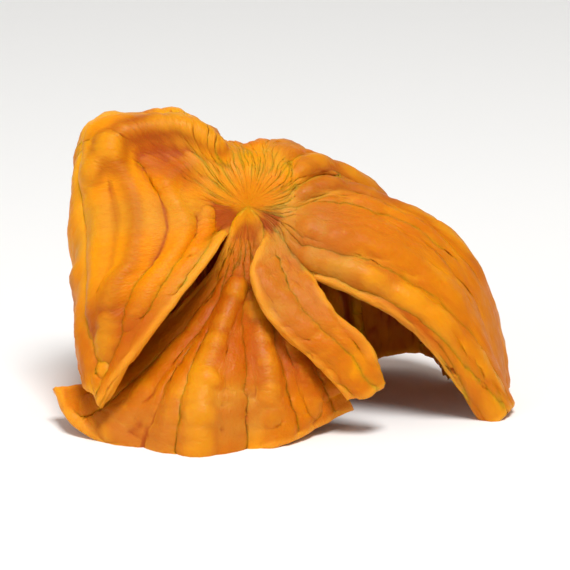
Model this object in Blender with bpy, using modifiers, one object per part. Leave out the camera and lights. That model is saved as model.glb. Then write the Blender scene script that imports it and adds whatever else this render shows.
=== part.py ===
"""One dried persimmon slice, torn from its rim towards the core and crumpled as it dried.

The slice is one leathery sheet. Ribs run over it from the core to the rim, and smooth curves
through them give the sheet's shape. Three tears part it into a cape, which hangs over the back and
both sides, a fan, which spreads on the table in front, and a narrow tongue between the two. Pleats
and dents crumple the sheet, and a Solidify modifier gives it the thickness of the dried flesh.

Lengths are in millimetres until the mesh is made, which is in metres. +X is to the right, +Y to the
back and +Z up. The slice stands on z = 0, and the origin is under the middle of its box.
"""

import math

import bpy
import bmesh
import numpy as np

MM = 0.001
FLESH_THICKNESS = 1.3
FLAT_RADIUS = 33.0

# The lattice: columns between two ribs, and rows between two points of a rib.
COLUMNS_PER_RIB = 4
ROWS_PER_POINT = 4

# The core, where every rib starts, and the small round of firm flesh about it, which leans back.
CORE = (-5.4, -3.0, 26.4)
CORE_RADIUS = 4.0
CORE_RIGHT = (1.0, 0.0, 0.0)
CORE_UP = (0.0, 0.35, 0.94)

# A rib is its angle about the core in the flat slice, in degrees, and its points out to the rim.
# The wing's lower edge comes first, and the ribs go over the ridge and down the back to the flap.
CAPE = [
    (-41, [(1.0, -6.5, 19.0), (6.8, -8.0, 16.6), (14.2, -8.5, 11.9), (22.2, -5.5, 0.7)]),
    (-22, [(3.0, -5.2, 22.7), (11.0, -6.0, 19.7), (18.5, -6.0, 13.5), (24.8, -4.0, 1.4)]),
    (-5, [(4.5, -1.5, 26.5), (13.5, -0.5, 23.5), (20.8, 0.5, 15.2), (24.5, 1.5, 1.2)]),
    (15, [(4.0, 2.0, 28.9), (13.0, 4.5, 23.4), (20.0, 7.0, 12.0), (21.5, 8.0, 1.5)]),
    (45, [(0.0, 3.5, 30.6), (7.0, 9.5, 24.5), (11.5, 13.0, 13.0), (13.0, 14.0, 3.0)]),
    (80, [(-5.2, 4.0, 31.8), (-3.0, 10.5, 25.5), (-1.0, 15.0, 13.0), (0.0, 17.0, -0.4)]),
    (110, [(-10.5, 3.5, 34.2), (-12.0, 9.5, 29.5), (-12.0, 15.0, 16.0), (-11.5, 17.5, -0.4)]),
    (135, [(-14.2, 3.0, 35.8), (-18.0, 8.5, 30.0), (-19.4, 13.0, 16.0), (-18.6, 15.0, 1.0)]),
    (158, [(-17.6, 0.0, 33.2), (-24.6, 2.6, 33.9), (-23.6, 9.5, 19.0), (-22.4, 10.0, 1.8)]),
    (185, [(-15.5, -5.0, 27.2), (-24.8, -3.0, 25.5), (-24.0, 1.5, 13.5), (-23.4, 1.5, 4.6)]),
    (215, [(-13.5, -8.5, 21.6), (-21.5, -10.6, 18.4), (-24.2, -10.0, 12.8), (-23.0, -12.0, 6.9)]),
    (235, [(-8.6, -9.0, 22.7), (-12.8, -12.5, 17.8), (-17.3, -14.8, 12.1), (-21.9, -16.0, 5.2)]),
]
FAN = [
    (235, [(-10.0, -5.2, 18.4), (-16.5, -6.0, 11.0), (-22.8, -6.8, 5.2), (-28.4, -7.4, 4.8)]),
    (245, [(-9.0, -6.2, 17.6), (-15.0, -9.4, 10.0), (-20.4, -11.6, 4.2), (-25.0, -12.4, 1.4)]),
    (258, [(-7.5, -7.2, 17.4), (-10.8, -12.2, 11.4), (-13.0, -16.4, 5.6), (-14.0, -18.8, -0.4)]),
    (275, [(-5.0, -6.6, 17.2), (-4.2, -11.0, 12.0), (-3.8, -15.0, 6.4), (-3.5, -16.8, 0.6)]),
    (298, [(-2.6, -4.8, 17.8), (1.4, -7.6, 12.6), (4.4, -9.0, 7.6), (6.2, -8.6, 3.2)]),
]
TONGUE = [
    (298, [(-5.4, -9.4, 19.2), (-2.8, -12.0, 14.6), (2.2, -13.0, 10.3), (6.2, -12.6, 6.0)]),
    (308, [(-2.0, -8.2, 19.4), (1.0, -11.6, 15.1), (5.5, -12.8, 11.2), (8.9, -12.6, 6.2)]),
    (319, [(1.0, -6.5, 19.0), (4.2, -10.5, 15.6), (8.2, -11.8, 12.1), (10.2, -11.5, 7.2)]),
]
# The flesh is torn thin at a tear's root, and reaches its full thickness this far from it.
TEAR_ROOT_REACH = 4.0
TEAR_ROOT_THICKNESS = 0.3
# Each lobe, and how many points past the core its last rib shares with the next lobe's first.
LOBES = [(CAPE, 1), (FAN, 1), (TONGUE, 2)]

# Pleats run out to the rim: angle, half width in degrees, height, and where they start (0 to 1).
PLEATS = [
    (-30, 7, -0.9, 0.30),
    (-10, 8, 1.2, 0.44),
    (6, 8, -1.5, 0.50),
    (24, 9, 1.8, 0.44),
    (40, 9, -1.6, 0.40),
    (58, 10, 2.0, 0.52),
    (74, 9, -1.8, 0.52),
    (92, 10, 1.8, 0.52),
    (108, 9, -2.0, 0.52),
    (126, 9, 2.4, 0.40),
    (143, 8, -1.6, 0.50),
    (165, 8, 1.5, 0.44),
    (182, 8, -0.9, 0.52),
    (200, 7, 0.8, 0.64),
    (243, 5, -0.5, 0.34),
    (252, 5, 0.6, 0.34),
    (262, 6, -0.8, 0.30),
    (272, 5, 0.6, 0.34),
    (282, 6, -0.5, 0.40),
]
# Dents push the flesh out, or press it in: angle, distance from the core, width and height.
DENTS = [
    (12, 17, 6.0, 1.4),
    (152, 18, 2.6, -1.1),
    (62, 20, 6.0, -1.2),
    (98, 14, 5.5, 1.4),
    (128, 24, 7.0, -1.5),
    (170, 13, 5.0, 1.2),
    (205, 13, 5.0, -0.7),
    (258, 17, 4.5, 0.9),
    (-28, 14, 4.5, -0.9),
    (-25, 24, 4.5, 0.8),
]


def curve_through(points, at):
    """A smooth curve's points at the given places, where place 0 is points[0] and 1 points[1]."""
    points = np.asarray(points, float)
    padded = np.concatenate([[2 * points[0] - points[1]], points, [2 * points[-1] - points[-2]]])
    start = np.clip(np.floor(at).astype(int), 0, len(points) - 2)
    t = (at - start).reshape((-1,) + (1,) * (points.ndim - 1))
    a, b, c, d = (padded[start + step] for step in range(4))
    return b + 0.5 * t * (c - a + t * (2 * a - 5 * b + 4 * c - d + t * (3 * (b - c) + d - a)))


def rib_points(angle, outer_points):
    """A rib's points, from the core to the rim."""
    turn = math.radians(angle)
    reach = math.cos(turn) * np.array(CORE_RIGHT) + math.sin(turn) * np.array(CORE_UP)
    return np.array([CORE, np.array(CORE) + CORE_RADIUS * reach, *outer_points])


def rows_of_rib(ribs):
    """Where the lattice's rows lie on a rib: the core, its edge, and then evenly out to the rim."""
    last = len(ribs[0][1]) + 1
    return np.concatenate([[0], np.linspace(1, last, (last - 1) * ROWS_PER_POINT + 1)])


def lobe_lattice(ribs):
    """The lobe's points, [column][row], and each column's angle in the flat slice."""
    points = np.array([rib_points(*rib) for rib in ribs])
    columns = np.linspace(0, len(ribs) - 1, (len(ribs) - 1) * COLUMNS_PER_RIB + 1)
    across = curve_through(points, columns)
    lattice = curve_through(across.swapaxes(0, 1), rows_of_rib(ribs)).swapaxes(0, 1)
    angles = np.interp(columns, range(len(ribs)), [rib[0] for rib in ribs])
    return lattice, angles


def last_shared_row(shared_points):
    """The lattice row where a tear starts. The core is row 0, and its edge is row 1."""
    return 1 + (shared_points - 1) * ROWS_PER_POINT


def share_up_to_tear(lattices):
    """Draws two lobes' neighbouring edges together, from the core to where the tear starts."""
    for index, (_, shared) in enumerate(LOBES):
        edge = lattices[index][-1]
        next_edge = lattices[(index + 1) % len(LOBES)][0]
        rows = slice(0, last_shared_row(shared) + 1)
        middle = (edge[rows] + next_edge[rows]) / 2
        edge[rows] = middle
        next_edge[rows] = middle


def sheet_of_slice():
    """The sheet's mesh, its layers of angle and of reach in the flat slice, and the tears' roots."""
    made = [lobe_lattice(ribs) for ribs, _ in LOBES]
    lattices = [lattice for lattice, _ in made]
    share_up_to_tear(lattices)
    reaches = rows_of_rib(CAPE) / rows_of_rib(CAPE)[-1]
    sheet = bmesh.new()
    angle_layer = sheet.verts.layers.float.new("angle")
    reach_layer = sheet.verts.layers.float.new("reach")
    core = sheet.verts.new(CORE)
    columns = []
    for lattice, angles in made:
        lobe = []
        for column, angle in zip(lattice, angles):
            vertices = [core] + [sheet.verts.new(point) for point in column[1:]]
            for vertex, reach in zip(vertices[1:], reaches[1:]):
                vertex[angle_layer] = angle
                vertex[reach_layer] = reach
            lobe.append(vertices)
        columns.append(lobe)
    roots = []
    for index, (_, shared) in enumerate(LOBES):
        following = columns[(index + 1) % len(LOBES)][0]
        for row in range(1, last_shared_row(shared) + 1):
            doubled = following[row]
            following[row] = columns[index][-1][row]
            sheet.verts.remove(doubled)
        roots.append(following[row].co)
    for lobe in columns:
        for rib, next_rib in zip(lobe, lobe[1:]):
            sheet.faces.new((core, next_rib[1], rib[1]))
            for row in range(1, len(reaches) - 1):
                corners = (rib[row], next_rib[row], next_rib[row + 1], rib[row + 1])
                sheet.faces.new(corners)
    return sheet, angle_layer, reach_layer, roots


def turn_between(angle, other):
    """The smaller turn from one angle to another, in degrees."""
    return (angle - other + 180) % 360 - 180


def crumple_height(angle, reach):
    """How far the pleats and dents lift a point of the flat slice."""
    height = 0.0
    for pleat_angle, half_width, rise, start in PLEATS:
        across = abs(turn_between(angle, pleat_angle)) / half_width
        along = (reach - start) / (1 - start)
        if across < 1 and along > 0:
            height += rise * (1 - across) ** 1.2 * min(1.0, along * (2 - along))
    turn = math.radians(angle)
    for dent_angle, distance, width, rise in DENTS:
        centre = math.radians(dent_angle)
        apart = math.hypot(
            FLAT_RADIUS * reach * math.cos(turn) - distance * math.cos(centre),
            FLAT_RADIUS * reach * math.sin(turn) - distance * math.sin(centre),
        )
        height += rise * math.exp(-((apart / width) ** 2))
    return height


def crumple(sheet, angle_layer, reach_layer):
    """Lifts each point of the sheet out of it, by the height of the pleats and dents there."""
    sheet.normal_update()
    lifts = [
        vertex.normal * crumple_height(vertex[angle_layer], vertex[reach_layer])
        for vertex in sheet.verts
    ]
    for vertex, lift in zip(sheet.verts, lifts):
        vertex.co += lift


def weigh_thickness(sheet, roots):
    """Gives each point its share of the flesh's thickness, which is least at the tears' roots."""
    share_layer = sheet.verts.layers.deform.new()
    for vertex in sheet.verts:
        apart = min((vertex.co - root).length for root in roots) / TEAR_ROOT_REACH
        share = TEAR_ROOT_THICKNESS + (1 - TEAR_ROOT_THICKNESS) * apart
        vertex[share_layer][0] = min(1.0, share)


def thick_slice(sheet):
    """The sheet with the thickness of the flesh, as a mesh in millimetres."""
    mesh = bpy.data.meshes.new("sheet")
    sheet.to_mesh(mesh)
    sheet.free()
    sheet_object = bpy.data.objects.new("sheet", mesh)
    sheet_object.vertex_groups.new(name="share of thickness")
    bpy.context.scene.collection.objects.link(sheet_object)
    flesh = sheet_object.modifiers.new("flesh", "SOLIDIFY")
    flesh.thickness = FLESH_THICKNESS
    flesh.offset = 0.0
    flesh.vertex_group = "share of thickness"
    graph = bpy.context.evaluated_depsgraph_get()
    solid = bpy.data.meshes.new_from_object(sheet_object.evaluated_get(graph))
    bpy.data.objects.remove(sheet_object)
    return solid


def stand_on_table(mesh):
    """Moves the slice over the origin in metres, and flattens what would dip below the table."""
    corners = np.array([vertex.co for vertex in mesh.vertices])
    middle = (corners.min(axis=0) + corners.max(axis=0)) / 2
    corners[:, :2] -= middle[:2]
    corners[:, 2] = corners[:, 2].clip(min=0.0)
    mesh.vertices.foreach_set("co", (corners * MM).ravel())
    mesh.update()


def dried_flesh():
    """Amber flesh, dried to leather."""
    material = bpy.data.materials.new("dried_flesh")
    material.use_nodes = True
    shader = material.node_tree.nodes["Principled BSDF"]
    shader.inputs["Base Color"].default_value = (0.76, 0.27, 0.012, 1.0)
    shader.inputs["Roughness"].default_value = 0.45
    shader.inputs["Metallic"].default_value = 0.0
    return material


def main():
    for obj in list(bpy.data.objects):
        bpy.data.objects.remove(obj)
    sheet, angle_layer, reach_layer, roots = sheet_of_slice()
    crumple(sheet, angle_layer, reach_layer)
    weigh_thickness(sheet, roots)
    solid = thick_slice(sheet)
    stand_on_table(solid)
    solid.materials.clear()
    solid.materials.append(dried_flesh())
    solid.shade_smooth()
    slice_object = bpy.data.objects.new("dried_slice", solid)
    collection = bpy.data.collections.new("dried_persimmon_slice")
    bpy.context.scene.collection.children.link(collection)
    collection.objects.link(slice_object)


main()
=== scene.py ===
import math

import bmesh
import bpy
import numpy as np
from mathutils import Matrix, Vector
from mathutils.kdtree import KDTree


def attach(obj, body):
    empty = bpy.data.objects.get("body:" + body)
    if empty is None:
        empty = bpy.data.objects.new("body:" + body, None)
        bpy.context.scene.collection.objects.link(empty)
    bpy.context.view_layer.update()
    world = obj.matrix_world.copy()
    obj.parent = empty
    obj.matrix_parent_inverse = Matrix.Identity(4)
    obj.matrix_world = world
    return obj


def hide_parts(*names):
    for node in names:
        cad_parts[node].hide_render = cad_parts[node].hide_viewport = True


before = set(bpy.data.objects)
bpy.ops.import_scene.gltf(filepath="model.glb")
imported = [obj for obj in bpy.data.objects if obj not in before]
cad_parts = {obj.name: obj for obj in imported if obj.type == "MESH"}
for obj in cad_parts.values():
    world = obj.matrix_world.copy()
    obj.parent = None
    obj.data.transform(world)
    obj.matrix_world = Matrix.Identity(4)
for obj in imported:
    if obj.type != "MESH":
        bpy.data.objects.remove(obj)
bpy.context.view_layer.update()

# The flesh as it was cut: one round of persimmon, which dried to a leathery sheet. It tore from the
# rim towards the core in three places, and curled into a cape over the back and sides, a fan on the
# table in front, and a narrow tongue between. Ribs from the core to the rim carry its form.
# Lengths are in millimetres until the mesh is finished.
MM = 0.001
SLICE_RADIUS = 33.0
CORE = (-5.4, -3.0, 26.4)
CORE_RADIUS = 4.0
CORE_RIGHT = (1.0, 0.0, 0.0)
CORE_UP = (0.0, 0.35, 0.94)

# A rib is its angle in the flat slice, in degrees, and its points from the core's edge to the rim.
CAPE = [
    (-41, [(1.0, -6.5, 19.0), (6.8, -8.0, 16.6), (14.2, -8.5, 11.9), (22.2, -5.5, 0.7)]),
    (-22, [(3.0, -5.2, 22.7), (11.0, -6.0, 19.7), (18.5, -6.0, 13.5), (24.8, -4.0, 1.4)]),
    (-5, [(4.5, -1.5, 26.5), (13.5, -0.5, 23.5), (20.8, 0.5, 15.2), (24.5, 1.5, 1.2)]),
    (15, [(4.0, 2.0, 28.9), (13.0, 4.5, 23.4), (20.0, 7.0, 12.0), (21.5, 8.0, 1.5)]),
    (45, [(0.0, 3.5, 30.6), (7.0, 9.5, 24.5), (11.5, 13.0, 13.0), (13.0, 14.0, 3.0)]),
    (80, [(-5.2, 4.0, 31.8), (-3.0, 10.5, 25.5), (-1.0, 15.0, 13.0), (0.0, 17.0, -0.4)]),
    (110, [(-10.5, 3.5, 34.2), (-12.0, 9.5, 29.5), (-12.0, 15.0, 16.0), (-11.5, 17.5, -0.4)]),
    (135, [(-14.2, 3.0, 35.8), (-18.0, 8.5, 30.0), (-19.4, 13.0, 16.0), (-18.6, 15.0, 1.0)]),
    (158, [(-17.6, 0.0, 33.2), (-24.6, 2.6, 33.9), (-23.6, 9.5, 19.0), (-22.4, 10.0, 1.8)]),
    (185, [(-15.5, -5.0, 27.2), (-24.8, -3.0, 25.5), (-24.0, 1.5, 13.5), (-23.4, 1.5, 4.6)]),
    (215, [(-13.5, -8.5, 21.6), (-21.5, -10.6, 18.4), (-24.2, -10.0, 12.8), (-23.0, -12.0, 6.9)]),
    (235, [(-8.6, -9.0, 22.7), (-12.8, -12.5, 17.8), (-17.3, -14.8, 12.1), (-21.9, -16.0, 5.2)]),
]
FAN = [
    (235, [(-10.0, -5.2, 18.4), (-16.5, -6.0, 11.0), (-22.8, -6.8, 5.2), (-28.4, -7.4, 4.8)]),
    (245, [(-9.0, -6.2, 17.6), (-15.0, -9.4, 10.0), (-20.4, -11.6, 4.2), (-25.0, -12.4, 1.4)]),
    (258, [(-7.5, -7.2, 17.4), (-10.8, -12.2, 11.4), (-13.0, -16.4, 5.6), (-14.0, -18.8, -0.4)]),
    (275, [(-5.0, -6.6, 17.2), (-4.2, -11.0, 12.0), (-3.8, -15.0, 6.4), (-3.5, -16.8, 0.6)]),
    (298, [(-2.6, -4.8, 17.8), (1.4, -7.6, 12.6), (4.4, -9.0, 7.6), (6.2, -8.6, 3.2)]),
]
TONGUE = [
    (298, [(-5.4, -9.4, 19.2), (-2.8, -12.0, 14.6), (2.2, -13.0, 10.3), (6.2, -12.6, 6.0)]),
    (308, [(-2.0, -8.2, 19.4), (1.0, -11.6, 15.1), (5.5, -12.8, 11.2), (8.9, -12.6, 6.2)]),
    (319, [(1.0, -6.5, 19.0), (4.2, -10.5, 15.6), (8.2, -11.8, 12.1), (10.2, -11.5, 7.2)]),
]
# Each lobe, and how many points past the core its last rib shares with the next lobe's first.
LOBES = [(CAPE, 1), (FAN, 1), (TONGUE, 2)]
LAST_POINT = 5

# The lattice is fine enough for wrinkles, and finer still beside an edge, which is rounded.
COLUMN_TURN = 0.78
EDGE_TURNS = np.array([0.0, 0.25, 0.6, 1.1, 1.7])
ROWS_IN_CORE = [0.0, 0.4, 0.7]
ROWS_IN_FLESH = 70
ROWS_BY_RIM = [0.09, 0.055, 0.03, 0.012, 0.0]
flesh_rows = np.linspace(1, LAST_POINT - 2 * ROWS_BY_RIM[0], ROWS_IN_FLESH)
rows = np.concatenate([ROWS_IN_CORE, flesh_rows, LAST_POINT - np.array(ROWS_BY_RIM)])


def curve_through(points, at):
    """A smooth curve's points at the given places, where place 0 is points[0] and 1 points[1]."""
    padded = np.concatenate([[2 * points[0] - points[1]], points, [2 * points[-1] - points[-2]]])
    start = np.clip(np.floor(at).astype(int), 0, len(points) - 2)
    t = (at - start).reshape((-1,) + (1,) * (points.ndim - 1))
    a, b, c, d = (padded[start + step] for step in range(4))
    return b + 0.5 * t * (c - a + t * (2 * a - 5 * b + 4 * c - d + t * (3 * (b - c) + d - a)))


def rib_points(angle, outer_points):
    """A rib's points, from the core to the rim."""
    turn = math.radians(angle)
    reach = math.cos(turn) * np.array(CORE_RIGHT) + math.sin(turn) * np.array(CORE_UP)
    return np.array([CORE, np.array(CORE) + CORE_RADIUS * reach, *outer_points])


def lobe_lattice(ribs):
    """The lobe's points, [column][row], and each column's angle in the flat slice."""
    rib_angles = [angle for angle, _ in ribs]
    first, last, margin = rib_angles[0], rib_angles[-1], EDGE_TURNS[-1]
    inner_count = round((last - first - 2 * margin) / COLUMN_TURN)
    inner = np.linspace(first + margin, last - margin, inner_count + 1)[1:-1]
    angles = np.concatenate([first + EDGE_TURNS, inner, last - EDGE_TURNS[::-1]])
    points = np.array([rib_points(*rib) for rib in ribs])
    across = curve_through(points, np.interp(angles, rib_angles, range(len(ribs))))
    return curve_through(across.swapaxes(0, 1), rows).swapaxes(0, 1), angles


lattices, lattice_angles = zip(*(lobe_lattice(ribs) for ribs, _ in LOBES))
sheet = bmesh.new()
core_vertex = sheet.verts.new(CORE)
places = [(0.0, 0.0)]
columns = []
for lattice, angles in zip(lattices, lattice_angles):
    lobe = []
    for column, angle in zip(lattice, angles):
        lobe.append([core_vertex] + [sheet.verts.new(point) for point in column[1:]])
        places += [(angle, place) for place in rows[1:]]
    columns.append(lobe)
tear_roots = []
merged = {}
for index, (_, shared_points) in enumerate(LOBES):
    following = columns[(index + 1) % len(LOBES)][0]
    for row in range(1, int(np.searchsorted(rows, shared_points, side="right"))):
        kept = columns[index][-1][row]
        kept.co = (kept.co + following[row].co) / 2
        merged[following[row]] = kept
        following[row] = kept
    tear_roots.append(kept.co.copy())
for lobe in columns:
    for column, next_column in zip(lobe, lobe[1:]):
        sheet.faces.new((core_vertex, next_column[1], column[1]))
        for row in range(1, len(rows) - 1):
            corners = (column[row], next_column[row], next_column[row + 1], column[row + 1])
            sheet.faces.new(corners)
sheet.verts.index_update()
spare = {vertex.index for vertex in merged}
places = np.array([place for index, place in enumerate(places) if index not in spare])
bmesh.ops.delete(sheet, geom=list(merged), context="VERTS")
sheet.normal_update()
points = np.array([vertex.co for vertex in sheet.verts])
normals = np.array([vertex.normal for vertex in sheet.verts])

# The folds: drying draws the flesh together, so the rim ruffles, and creases run from the core.
# They are set out on the flat slice, by the angle and the place from 0 at the core to 5 at the rim.
PLEATS = [  # angle, half width in degrees, height, and where it starts
    (-30, 7, -0.9, 1.5),
    (-10, 8, 1.2, 2.2),
    (6, 8, -1.5, 2.5),
    (24, 9, 1.8, 2.2),
    (40, 9, -1.6, 2.0),
    (58, 10, 2.0, 2.6),
    (74, 9, -1.8, 2.6),
    (92, 10, 1.8, 2.6),
    (108, 9, -2.0, 2.6),
    (126, 9, 2.4, 2.0),
    (143, 8, -1.6, 2.5),
    (165, 8, 1.5, 2.2),
    (182, 8, -0.9, 2.6),
    (200, 7, 0.8, 3.2),
    (243, 5, -0.5, 1.7),
    (252, 5, 0.6, 1.7),
    (262, 6, -0.8, 1.5),
    (272, 5, 0.6, 1.7),
    (282, 6, -0.5, 2.0),
]
DENTS = [  # angle, distance from the core, width and height
    (12, 17, 6.0, 1.4),
    (152, 18, 2.6, -1.1),
    (62, 20, 6.0, -1.2),
    (98, 14, 5.5, 1.4),
    (128, 24, 7.0, -1.5),
    (170, 13, 5.0, 0.7),
    (205, 13, 5.0, -0.7),
    (258, 17, 4.5, 0.9),
    (-28, 14, 4.5, -0.9),
    (-25, 24, 4.5, 0.8),
]
CREASES = [  # half width, height, and the angles and places that the crease passes
    (2.0, -1.3, [(176, 2.75), (160, 2.3), (140, 1.75), (118, 1.45)]),
    (2.2, 1.3, [(158, 3.0), (149, 2.6), (135, 2.0), (116, 1.9), (95, 2.1)]),
    (2.4, 1.3, [(150, 2.6), (160, 3.0), (185, 3.05), (205, 3.3), (218, 4.0), (228, 4.5)]),
    (1.4, -0.8, [(166, 2.5), (194, 2.35), (212, 2.6), (223, 3.7), (226, 4.5)]),
    (1.3, 0.45, [(170, 2.1), (198, 2.0), (216, 2.4), (225, 3.4), (229, 4.2)]),
    (1.0, -0.4, [(176, 1.9), (200, 1.7), (215, 2.1), (225, 2.9), (228, 3.6)]),
    (1.1, 0.35, [(196, 1.5), (212, 1.7), (225, 2.5), (230, 3.4)]),
    (1.1, -0.5, [(150, 1.4), (166, 1.6), (176, 1.8)]),
    (1.0, -0.4, [(192, 1.2), (212, 1.4), (224, 2.0)]),
    (0.9, -0.3, [(165, 2.8), (190, 2.75), (209, 3.0), (219, 3.7)]),
    (1.2, 0.4, [(222, 1.2), (230, 2.0), (233, 3.0)]),
    (1.3, 0.45, [(-37, 2.1), (-36, 3.0), (-33, 4.0), (-29, 4.9)]),
    (1.2, -0.45, [(-33, 2.0), (-31, 3.0), (-28, 4.0), (-25, 4.7)]),
    (1.3, 0.4, [(-28, 1.8), (-25, 3.2), (-22, 4.2)]),
    (1.3, -0.4, [(-21, 1.7), (-19, 2.6), (-17, 3.9)]),
    (1.8, 0.5, [(-10, 1.4), (-8, 2.4), (-5, 3.6)]),
    (2.0, -0.8, [(2, 1.4), (6, 2.4), (4, 3.8)]),
    (1.4, -0.7, [(264, 2.0), (262, 3.2), (263, 4.7)]),
    (1.3, 0.5, [(256, 2.2), (255, 3.6), (254, 4.9)]),
    (1.0, -0.5, [(250, 2.4), (249, 4.7)]),
    (1.2, 0.6, [(245, 2.6), (244, 4.8)]),
    (1.1, 0.5, [(260, 2.8), (259, 4.8)]),
    (1.2, 0.5, [(270, 2.1), (271, 4.9)]),
    (1.3, -0.6, [(275, 2.2), (277, 4.4)]),
    (1.0, 0.5, [(279, 2.2), (282, 4.8)]),
    (1.2, -0.6, [(285, 2.2), (288, 4.5)]),
    (1.3, 0.5, [(291, 2.4), (293, 4.8)]),
    (1.8, 0.5, [(309, 1.7), (309, 3.0), (310, 4.8)]),
    (2.0, -0.9, [(24, 1.6), (28, 2.8), (24, 4.4)]),
    (2.4, 0.9, [(40, 1.7), (43, 3.0), (38, 4.8)]),
    (2.0, -1.0, [(62, 2.3), (66, 3.2), (60, 4.6)]),
    (2.4, 0.8, [(84, 1.7), (80, 2.9), (88, 4.8)]),
    (2.0, -1.0, [(104, 2.5), (100, 3.4), (106, 4.7)]),
    (2.4, 0.9, [(124, 2.4), (118, 3.5), (122, 4.8)]),
    (2.0, -1.0, [(146, 2.9), (140, 3.8), (147, 4.8)]),
    (2.2, 0.7, [(172, 3.4), (176, 4.0), (172, 4.9)]),
    (1.8, -0.8, [(196, 3.5), (192, 4.7)]),
]


def flat_point(angle, place):
    """Where an angle and a place lie on the flat slice."""
    turn = np.radians(angle)
    distance = SLICE_RADIUS * np.asarray(place) / LAST_POINT
    return np.stack([distance * np.cos(turn), distance * np.sin(turn)], axis=-1)


def distance_to_line(spots, start, end):
    """How far each spot is from the straight line between two others."""
    along = ((spots - start) @ (end - start)) / ((end - start) @ (end - start))
    nearest = start + along.clip(0, 1)[:, None] * (end - start)
    return np.linalg.norm(spots - nearest, axis=1)


angle, place = places.T
flat = flat_point(angle, place)
fold_height = np.zeros(len(points))
for pleat_angle, half_width, height, start in PLEATS:
    across = abs((angle - pleat_angle + 180) % 360 - 180) / half_width
    along = ((place - start) / (LAST_POINT - start)).clip(0, 1)
    fold_height += height * (1 - across.clip(0, 1)) ** 1.2 * along * (2 - along)
for dent_angle, distance, width, height in DENTS:
    middle = flat_point(dent_angle, distance * LAST_POINT / SLICE_RADIUS)
    fold_height += height * np.exp(-((np.linalg.norm(flat - middle, axis=1) / width) ** 2))
crease_height = np.zeros(len(points))
for half_width, height, path in CREASES:
    path = flat_point(*np.array(path, float).T)
    away = np.min([distance_to_line(flat, *ends) for ends in zip(path, path[1:])], axis=0)
    across = (away / half_width).clip(0, 1)
    crease_height += height * (1 - across) ** 1.5
points += normals * (fold_height + crease_height)[:, None]

# The edges: the rim dries to a thin hard bead, the tears are thin at their roots, and both are
# rounded. The eight seed chambers about the core dry thinner than the flesh between them.
FLESH_THICKNESS = 1.3
EDGE_RADIUS = 0.65
EDGE_SHARE = 0.15
BEAD_PLACE, BEAD_WIDTH, BEAD_SHARE = 1.2, 0.8, 0.12
ROOT_REACH, ROOT_SHARE = 3.0, 0.3
CHAMBERS = 8
CHAMBER_MIDDLE, CHAMBER_LENGTH, CHAMBER_HALF_WIDTH = 15.0, 9.0, 2.6
CHAMBER_THINNING = 0.35


def nearest_distance(spots, others):
    """How far each spot is from the nearest of the others."""
    tree = KDTree(len(others))
    for index, other in enumerate(others):
        tree.insert(other, index)
    tree.balance()
    return np.array([tree.find(spot)[2] for spot in spots])


edge_points = [vertex.co for vertex in sheet.verts if vertex.is_boundary]
smooth_points = np.array([vertex.co for vertex in sheet.verts])
to_edge = nearest_distance(smooth_points, edge_points)
to_root = nearest_distance(smooth_points, tear_roots)
rounded = np.sqrt(1 - (1 - (to_edge / EDGE_RADIUS).clip(0, 1)) ** 2)
share = EDGE_SHARE + (1 - EDGE_SHARE) * rounded
share *= 1 + BEAD_SHARE * np.exp(-(((to_edge - BEAD_PLACE) / BEAD_WIDTH) ** 2))
share *= (ROOT_SHARE + (1 - ROOT_SHARE) * to_root / ROOT_REACH).clip(0, 1)
distance = np.linalg.norm(flat, axis=1)
chamber_turn = 2 * math.pi / CHAMBERS
off_middle = distance * np.sin(
    (np.radians(angle) + chamber_turn / 4) % chamber_turn - chamber_turn / 2
)
along_chamber = (distance - CHAMBER_MIDDLE) / CHAMBER_LENGTH
chamber = np.exp(-((off_middle / CHAMBER_HALF_WIDTH) ** 2) - along_chamber**4)
share *= 1 - CHAMBER_THINNING * chamber

mesh = bpy.data.meshes.new("dried_slice_sheet")
for vertex, point in zip(sheet.verts, points):
    vertex.co = point * MM
sheet.to_mesh(mesh)
sheet.free()


def give_attribute(mesh, name, kind, values):
    """Stores a value of each vertex under a name, for the wrinkles and the finish to read."""
    field = "vector" if kind == "FLOAT_VECTOR" else "value"
    attribute = mesh.attributes.new(name, kind, "POINT")
    attribute.data.foreach_set(field, np.asarray(values, np.float32).ravel())


give_attribute(mesh, "flat", "FLOAT_VECTOR", np.column_stack([flat, np.zeros(len(flat))]))
# The finish paints shade into the creases' valleys and a highlight onto their ridges.
give_attribute(mesh, "crease", "FLOAT", crease_height)
give_attribute(mesh, "to_edge", "FLOAT", to_edge)
give_attribute(mesh, "chamber", "FLOAT", chamber)
# The flap at the left is drawn down and not in to the core, so the grooves die out across it.
FLAP_ANGLE, FLAP_PLACE, FLAP_WIDTH = 198, 2.3, 11.0
from_flap = np.linalg.norm(flat - flat_point(FLAP_ANGLE, FLAP_PLACE), axis=1)
give_attribute(mesh, "gathered", "FLOAT", 1 - np.exp(-((from_flap / FLAP_WIDTH) ** 2)))
# Painted shade: spots in the shade, such as the fan under the tongue and flap, are painted redder.
# Other spots dried to a dull tan.
SHADE_SPOTS = [  # angle, distance from the core and width
    (264, 15, 7.5),
    (288, 22, 6.0),
    (223, 25, 5.5),
    (160, 12, 3.5),
    (-38, 25, 3.0),
    (300, 7, 3.5),
    (-22, 12, 3.5),
]
TAN_SPOTS = [
    (253, 29, 4.5),
    (270, 28, 4.0),
    (308, 15, 8.0),
    (-30, 9, 5.0),
    (15, 15, 4.0),
]
for name, spots in (("redder_tone", SHADE_SPOTS), ("tan", TAN_SPOTS)):
    strength = np.zeros(len(flat))
    for spot_angle, distance, width in spots:
        middle = flat_point(spot_angle, distance * LAST_POINT / SLICE_RADIUS)
        strength += np.exp(-((np.linalg.norm(flat - middle, axis=1) / width) ** 2))
    give_attribute(mesh, name, "FLOAT", strength)
flesh = bpy.data.objects.new("dried_persimmon_flesh", mesh)
bpy.context.scene.collection.objects.link(flesh)
thickness_group = flesh.vertex_groups.new(name="share of thickness")
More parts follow.
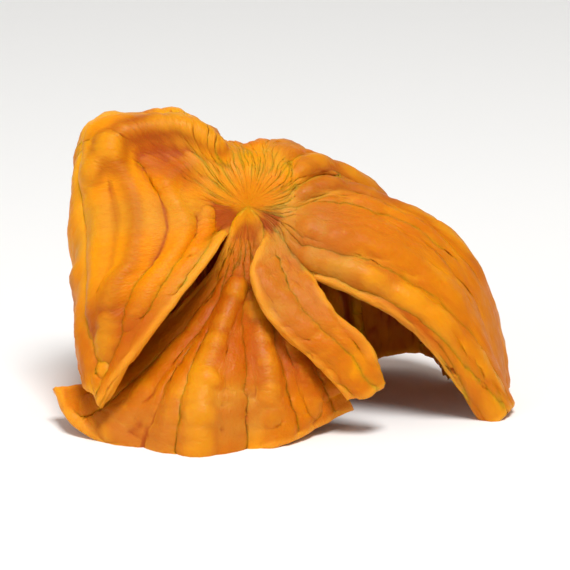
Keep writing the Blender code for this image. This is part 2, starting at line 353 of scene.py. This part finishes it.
for index, value in enumerate(share):
    thickness_group.add([index], float(value), "REPLACE")

# The finish: persimmon flesh dried in thin rounds, amber orange and leathery. It is waxy and half
# translucent, so light glows in the thin edges. Painted shade darkens the hollows and a painted
# highlight lightens the ridges.


def linear(hex_colour):
    """An sRGB hex colour as linear red, green, blue and full alpha."""
    srgb = [int(hex_colour[start : start + 2], 16) / 255 for start in (1, 3, 5)]
    return [c / 12.92 if c <= 0.04045 else ((c + 0.055) / 1.055) ** 2.4 for c in srgb] + [1.0]


def add_node(tree, kind, inputs=None, output=0, **settings):
    """Adds a node with its settings, and gives its output. An input is a value or a link."""
    node = tree.nodes.new(kind)
    for name, value in settings.items():
        setattr(node, name, value)
    for socket, value in (inputs or {}).items():
        if isinstance(value, bpy.types.NodeSocket):
            tree.links.new(value, node.inputs[socket])
        else:
            node.inputs[socket].default_value = value
    return node.outputs[output]


dried_flesh = bpy.data.materials.new("dried_persimmon_flesh")
dried_flesh.use_nodes = True
finish = dried_flesh.node_tree
shader = finish.nodes["Principled BSDF"]
ATTRIBUTE, NOISE, RANGE = "ShaderNodeAttribute", "ShaderNodeTexNoise", "ShaderNodeMapRange"
MIX, VECTOR_MATH = "ShaderNodeMix", "ShaderNodeVectorMath"
SMOOTH = {"interpolation_type": "SMOOTHSTEP"}

flat_spot = add_node(finish, ATTRIBUTE, output="Vector", attribute_name="flat")
groove = add_node(finish, ATTRIBUTE, output="Fac", attribute_name="groove")
crease = add_node(finish, ATTRIBUTE, output="Fac", attribute_name="crease")
to_rim = add_node(finish, ATTRIBUTE, output="Fac", attribute_name="to_edge")
in_chamber = add_node(finish, ATTRIBUTE, output="Fac", attribute_name="chamber")
relief = add_node(finish, ATTRIBUTE, output="Fac", attribute_name="relief")
painted_shade_spots = add_node(finish, ATTRIBUTE, output="Fac", attribute_name="redder_tone")
tanned = add_node(finish, ATTRIBUTE, output="Fac", attribute_name="tan")
spot = add_node(finish, "ShaderNodeTexCoord", output="Object")
# Patches about 8 mm wide are paler, and others about 6 mm wide are riper and redder.
pale = add_node(finish, NOISE, {"Vector": flat_spot, "Scale": 0.12, "Detail": 3.0}, "Fac")
redder_tone = add_node(finish, NOISE, {"Vector": spot, "Scale": 160.0, "Detail": 4.0}, "Fac")
# Fibres about 1 mm apart run out from the core, so the pattern is drawn long that way.
FIBRES_AROUND = 24.0
spoke = add_node(finish, VECTOR_MATH, {0: flat_spot}, operation="NORMALIZE")
fibre_spot = add_node(
    finish,
    VECTOR_MATH,
    {0: spoke, 1: [FIBRES_AROUND] * 3, 2: flat_spot},
    operation="MULTIPLY_ADD",
)
fibres = add_node(finish, NOISE, {"Vector": fibre_spot, "Scale": 0.7, "Detail": 4.0}, "Fac")
# Each layer is the value that places it, the value's range, how strong it grows, and its colour.
COLOUR_LAYERS = [
    (pale, 0.38, 0.62, 0.7, "#EE9A02"),
    (redder_tone, 0.50, 0.72, 0.5, "#DC7203"),
    (in_chamber, 0.20, 0.90, 0.5, "#CE9226"),
    # painted shade: the shaded spots are painted a deep red orange
    (painted_shade_spots, 0.05, 0.90, 0.85, "#B45004"),
    (tanned, 0.05, 0.90, 0.75, "#C98A30"),
    (fibres, 0.54, 0.36, 0.2, "#CC7405"),
    # painted shade darkens the grooves and the creases' valleys, and a painted highlight lightens
    # the creases' ridges
    (groove, 0.45, 0.95, 0.55, "#BC5603"),
    (crease, -0.20, -0.90, 0.6, "#A04002"),
    (crease, 0.20, 0.80, 0.4, "#FBAE22"),
    # painted shade in the hollows of the relief, and a painted highlight on its ridges
    (relief, 0.04, -0.22, 0.85, "#A63E02"),
    (relief, 0.30, 0.85, 0.45, "#F8AE18"),
    (to_rim, 1.10, 0.30, 0.45, "#FAB030"),
]
colour = linear("#E68A00")
for value, start, end, strength, over in COLOUR_LAYERS:
    share = add_node(finish, RANGE, {"Value": value, 1: start, 2: end, 4: strength}, **SMOOTH)
    colour = add_node(
        finish, MIX, {0: share, 6: colour, 7: linear(over)}, output=2, data_type="RGBA"
    )
gloss_patches = add_node(finish, NOISE, {"Vector": spot, "Scale": 700.0, "Detail": 3.0}, "Fac")
roughness = add_node(finish, RANGE, {"Value": gloss_patches, 1: 0.3, 2: 0.7, 3: 0.34, 4: 0.56})
# Fine wrinkles about 0.4 mm apart are too small for the mesh.
fine = add_node(finish, NOISE, {"Vector": fibre_spot, "Scale": 2.4, "Detail": 5.0}, "Fac")
grain = add_node(finish, "ShaderNodeBump", {"Height": fine, "Strength": 0.6, "Distance": 0.0002})
finish.links.new(colour, shader.inputs["Base Color"])
finish.links.new(roughness, shader.inputs["Roughness"])
finish.links.new(grain, shader.inputs["Normal"])
shader.inputs["IOR"].default_value = 1.45
shader.inputs["Specular IOR Level"].default_value = 0.16
shader.inputs["Subsurface Weight"].default_value = 0.55
shader.inputs["Subsurface Radius"].default_value = (1.0, 0.32, 0.06)
shader.inputs["Subsurface Scale"].default_value = 0.8 * MM

# The wrinkles: as the flesh shrank it puckered between the folds. Long gathers run in to the core,
# and short puckers cross them. A Geometry Nodes tree presses them into the sheet as grooves.
wrinkler = bpy.data.node_groups.new("dried_flesh_wrinkles", "GeometryNodeTree")
# Gathers and fine wrinkles are counts about the core, the gather length is in millimetres, and
# puckers are a count per millimetre.
WRINKLE_INPUTS = {
    "Geometry": ("NodeSocketGeometry", None),
    "Gathers": ("NodeSocketFloat", 4.2),
    "Gather length": ("NodeSocketFloat", 11.0),
    "Gather height": ("NodeSocketFloat", 0.45 * MM),
    "Puckers": ("NodeSocketFloat", 0.15),
    "Pucker height": ("NodeSocketFloat", 0.5 * MM),
    "Fine wrinkles": ("NodeSocketFloat", 15.0),
    "Fine height": ("NodeSocketFloat", 0.2 * MM),
    "Seed": ("NodeSocketFloat", 3.0),
    "Finish": ("NodeSocketMaterial", dried_flesh),
}
for name, (kind, _) in WRINKLE_INPUTS.items():
    wrinkler.interface.new_socket(name=name, in_out="INPUT", socket_type=kind)
wrinkler.interface.new_socket(name="Geometry", in_out="OUTPUT", socket_type="NodeSocketGeometry")
given = wrinkler.nodes.new("NodeGroupInput").outputs
MATH, STORED = "ShaderNodeMath", "GeometryNodeInputNamedAttribute"

flat_spot = add_node(
    wrinkler, STORED, {"Name": "flat"}, output="Attribute", data_type="FLOAT_VECTOR"
)
outward = add_node(wrinkler, VECTOR_MATH, {0: flat_spot}, operation="NORMALIZE")
from_core = add_node(wrinkler, VECTOR_MATH, {0: flat_spot}, output="Value", operation="LENGTH")
bends = add_node(
    wrinkler,
    NOISE,
    {"Vector": flat_spot, "W": given["Seed"], "Scale": 0.12, "Detail": 2.0},
    output="Color",
    noise_dimensions="4D",
)
# The gathers are a noise on the direction from the core, so that they run in to it.
around = add_node(wrinkler, VECTOR_MATH, {0: outward, 3: given["Gathers"]}, operation="SCALE")
along = add_node(wrinkler, MATH, {0: from_core, 1: given["Gather length"]}, operation="DIVIDE")
along = add_node(wrinkler, "ShaderNodeCombineXYZ", {"Z": along})
gather_spot = add_node(wrinkler, VECTOR_MATH, {0: around, 1: along}, operation="ADD")
pucker_spot = add_node(
    wrinkler, VECTOR_MATH, {0: flat_spot, 3: given["Puckers"]}, operation="SCALE"
)
# Both patterns wander, and these are how far.
GATHER_BEND, PUCKER_BEND = 2.4, 1.6
gather_spot, pucker_spot = (
    add_node(wrinkler, VECTOR_MATH, {0: bends, 1: [bend] * 3, 2: spot}, operation="MULTIPLY_ADD")
    for bend, spot in ((GATHER_BEND, gather_spot), (PUCKER_BEND, pucker_spot))
)
# The fine wrinkles are drawn out along the way from the core.
FINE_LENGTHWISE = 0.3
fine_around = add_node(
    wrinkler, VECTOR_MATH, {0: outward, 3: given["Fine wrinkles"]}, operation="SCALE"
)
fine_spot = add_node(wrinkler, VECTOR_MATH, {0: flat_spot, 3: FINE_LENGTHWISE}, operation="SCALE")
fine_spot = add_node(wrinkler, VECTOR_MATH, {0: fine_around, 1: fine_spot}, operation="ADD")
# A groove lies wherever a soft noise crosses its middle value, with a full round either side.
GROOVE_STEEPNESS = 4.5
grooves = []
for place_in_noise, detail in ((gather_spot, 2.0), (pucker_spot, 3.0), (fine_spot, 2.0)):
    soft_noise = add_node(
        wrinkler,
        NOISE,
        {"Vector": place_in_noise, "W": given["Seed"], "Scale": 1.0, "Detail": detail},
        output="Fac",
        noise_dimensions="4D",
    )
    off_middle = add_node(wrinkler, MATH, {0: soft_noise, 1: 0.5}, operation="SUBTRACT")
    off_middle = add_node(wrinkler, MATH, {0: off_middle}, operation="ABSOLUTE")
    grooves.append(
        add_node(
            wrinkler,
            MATH,
            {0: off_middle, 1: -GROOVE_STEEPNESS, 2: 1.0},
            operation="MULTIPLY_ADD",
            use_clamp=True,
        )
    )
gather, pucker, fine = grooves
# The grooves are shallower in the firm flesh about the core, and across the flap.
FIRM_TO, SOFT_FROM = 4.0, 13.0
softness = add_node(wrinkler, RANGE, {"Value": from_core, 1: FIRM_TO, 2: SOFT_FROM})
gathered = add_node(wrinkler, STORED, {"Name": "gathered"}, output="Attribute", data_type="FLOAT")
softness = add_node(wrinkler, MATH, {0: softness, 1: gathered}, operation="MULTIPLY")
gather_height = add_node(
    wrinkler, MATH, {0: given["Gather height"], 1: softness}, operation="MULTIPLY"
)
pucker_height = add_node(
    wrinkler, MATH, {0: given["Pucker height"], 1: softness}, operation="MULTIPLY"
)
lift = add_node(wrinkler, MATH, {0: gather, 1: gather_height}, operation="MULTIPLY")
lift = add_node(
    wrinkler, MATH, {0: pucker, 1: pucker_height, 2: lift}, operation="MULTIPLY_ADD"
)
fine_height = add_node(wrinkler, MATH, {0: given["Fine height"], 1: softness}, operation="MULTIPLY")
lift = add_node(wrinkler, MATH, {0: fine, 1: fine_height, 2: lift}, operation="MULTIPLY_ADD")
lift = add_node(wrinkler, MATH, {0: lift, 1: -1.0}, operation="MULTIPLY")
# The groove mask goes to the finish, which darkens the grooves with painted shade.
groove = add_node(wrinkler, MATH, {0: gather, 1: pucker}, operation="MAXIMUM")
groove = add_node(wrinkler, MATH, {0: groove, 1: softness}, operation="MULTIPLY")
offset = add_node(
    wrinkler,
    VECTOR_MATH,
    {0: add_node(wrinkler, "GeometryNodeInputNormal"), 3: lift},
    operation="SCALE",
)
marked = add_node(
    wrinkler,
    "GeometryNodeStoreNamedAttribute",
    {"Geometry": given["Geometry"], "Name": "groove", "Value": groove},
    data_type="FLOAT",
    domain="POINT",
)
raised = add_node(wrinkler, "GeometryNodeSetPosition", {"Geometry": marked, "Offset": offset})
realized = add_node(wrinkler, "GeometryNodeRealizeInstances", {"Geometry": raised})
finished = add_node(
    wrinkler, "GeometryNodeSetMaterial", {"Geometry": realized, "Material": given["Finish"]}
)
group_output = wrinkler.nodes.new("NodeGroupOutput")
wrinkler.links.new(finished, group_output.inputs["Geometry"])

wrinkles = flesh.modifiers.new("wrinkles", "NODES")
wrinkles.node_group = wrinkler
for item in wrinkler.interface.items_tree:
    if item.in_out == "INPUT" and WRINKLE_INPUTS[item.name][1] is not None:
        wrinkles[item.identifier] = WRINKLE_INPUTS[item.name][1]
thickness = flesh.modifiers.new("flesh", "SOLIDIFY")
thickness.thickness = FLESH_THICKNESS * MM
thickness.offset = 0.0
thickness.vertex_group = thickness_group.name
graph = bpy.context.evaluated_depsgraph_get()
dried = bpy.data.meshes.new_from_object(flesh.evaluated_get(graph))
dried.name = "dried_persimmon_flesh"
bpy.data.objects.remove(flesh)

# Painted shade goes in the hollows and a painted highlight on the ridges. How far each spot stands
# out from the surface smoothed over about 2 mm tells the finish which it is.
RELIEF_SMOOTHINGS = 24
corners = np.array([vertex.co for vertex in dried.vertices])
outward = np.array([vertex.normal for vertex in dried.vertices])
ends = np.array([edge.vertices for edge in dried.edges])
ends = np.concatenate([ends, ends[:, ::-1]])
neighbours = np.bincount(ends[:, 0], minlength=len(corners))
smoothed = corners
for _ in range(RELIEF_SMOOTHINGS):
    sums = [np.bincount(ends[:, 0], axis[ends[:, 1]], len(corners)) for axis in smoothed.T]
    smoothed = (smoothed + np.transpose(sums / neighbours)) / 2
give_attribute(dried, "relief", "FLOAT", np.sum((corners - smoothed) * outward, axis=1) / MM)

# The slice stands over the origin, and its soft rim lies flat where it meets the table.
middle = (corners.min(axis=0) + corners.max(axis=0)) / 2
corners[:, :2] -= middle[:2]
corners[:, 2] = corners[:, 2].clip(min=0.0)
dried.vertices.foreach_set("co", corners.ravel())
dried.update()
dried.shade_smooth()
slice_of_flesh = bpy.data.objects.new("dried_persimmon_flesh", dried)
bpy.context.scene.collection.objects.link(slice_of_flesh)
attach(slice_of_flesh, "root")
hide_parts("dried_slice")

# The studio: a pale table and backdrop in one sweep, a soft light overhead, a weaker one on the
# left, and a long lens a little above the table.
SWEEP_HALF_WIDTH = 0.9
SWEEP_PROFILE = [(-0.9, 0.0), (0.45, 0.0), (0.6, 0.02), (0.72, 0.08), (0.8, 0.2), (0.82, 1.0)]
sweep_mesh = bmesh.new()
sides = []
for side in (-SWEEP_HALF_WIDTH, SWEEP_HALF_WIDTH):
    sides.append([sweep_mesh.verts.new((side, back, up)) for back, up in SWEEP_PROFILE])
for left, next_left, next_right, right in zip(
    sides[0], sides[0][1:], sides[1][1:], sides[1]
):
    sweep_mesh.faces.new((left, right, next_right, next_left))
sweep_shape = bpy.data.meshes.new("studio_sweep")
sweep_mesh.to_mesh(sweep_shape)
sweep_mesh.free()
sweep = bpy.data.objects.new("studio_sweep", sweep_shape)
bpy.context.scene.collection.objects.link(sweep)
smoother = sweep.modifiers.new("smoother", "SUBSURF")
smoother.levels = smoother.render_levels = 3
sweep_shape.shade_smooth()
pale_paper = bpy.data.materials.new("matt_white_paper")
pale_paper.use_nodes = True
paper_shader = pale_paper.node_tree.nodes["Principled BSDF"]
paper_shader.inputs["Base Color"].default_value = linear("#F6F5F3")
paper_shader.inputs["Roughness"].default_value = 0.9
sweep_shape.materials.append(pale_paper)

ROOM_LIGHT = 0.32
world = bpy.data.worlds.new("soft_room")
bpy.context.scene.world = world
world.use_nodes = True
room_light = world.node_tree.nodes["Background"]
room_light.inputs["Color"].default_value = (1.0, 1.0, 1.0, 1.0)
room_light.inputs["Strength"].default_value = ROOM_LIGHT
AIM = np.array([0.0, 0.0, 0.016])
SOFT_LIGHTS = [  # name, place, width and power
    ("key_light", (0.06, -0.28, 0.6), 0.22, 4.1),
    ("fill_light", (-0.5, -0.4, 0.3), 0.4, 0.8),
]


def point_at(thing, place, aim):
    """Puts a light or the camera in its place, turned towards the aim."""
    thing.location = place
    thing.rotation_euler = Vector(aim - np.array(place)).to_track_quat("-Z", "Y").to_euler()
    bpy.context.scene.collection.objects.link(thing)


for name, place, width, power in SOFT_LIGHTS:
    panel = bpy.data.lights.new(name, "AREA")
    panel.size = width
    panel.energy = power
    point_at(bpy.data.objects.new(name, panel), place, AIM)

LENS = 250.0
ELEVATION = math.radians(15)
CAMERA_DISTANCE = 0.47
lens = bpy.data.cameras.new("camera")
lens.lens = LENS
lens.clip_start = 0.01
camera = bpy.data.objects.new("camera", lens)
camera_place = AIM + CAMERA_DISTANCE * np.array([0.0, -math.cos(ELEVATION), math.sin(ELEVATION)])
point_at(camera, camera_place, AIM)
bpy.context.scene.camera = camera
bpy.context.scene.view_settings.view_transform = "Standard"
